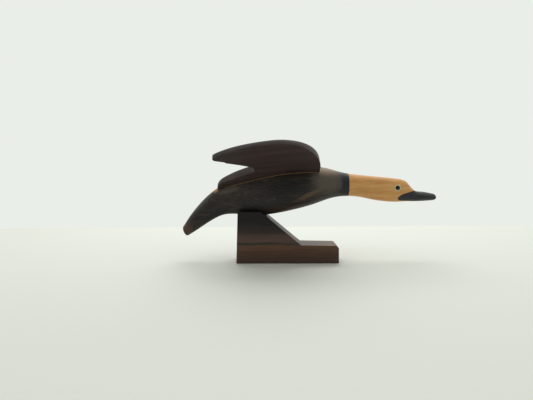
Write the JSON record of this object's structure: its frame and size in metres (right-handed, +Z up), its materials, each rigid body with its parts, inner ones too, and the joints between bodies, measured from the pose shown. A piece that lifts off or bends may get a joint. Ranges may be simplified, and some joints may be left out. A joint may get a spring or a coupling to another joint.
{
  "type": "carved wooden duck",
  "caption": "Carved wooden duck in low flight with raised board wings, dark stained body and pale head, on a wedge-shaped hardwood stand.",
  "frame": {"origin": "on the surface that the stand rests on, under the middle of the bird's length and width", "axes": "+X towards the bill, +Y towards the bird's left wing, +Z up"},
  "size_m": [0.2202, 0.0886, 0.1026],
  "materials": {
    "stand_hardwood": "oiled dark rosewood, fine sanded, satin",
    "stained_carving": "pale wood stained brown-black, head left in clear satin varnish, bill painted black",
    "wing_hardwood": "dark rosewood board, sanded and oiled",
    "eye_ring": "pale cream inlay, polished",
    "eye_pupil": "black, domed, glossy"
  },
  "bodies": {
    "root": {"base": "stand_hardwood", "body": "stained_carving", "wing_left": "wing_hardwood", "wing_right": "wing_hardwood", "eye_ring_left": "eye_ring", "eye_ring_right": "eye_ring", "eye_pupil_left": "eye_pupil", "eye_pupil_right": "eye_pupil"}
  },
  "joints": []
}
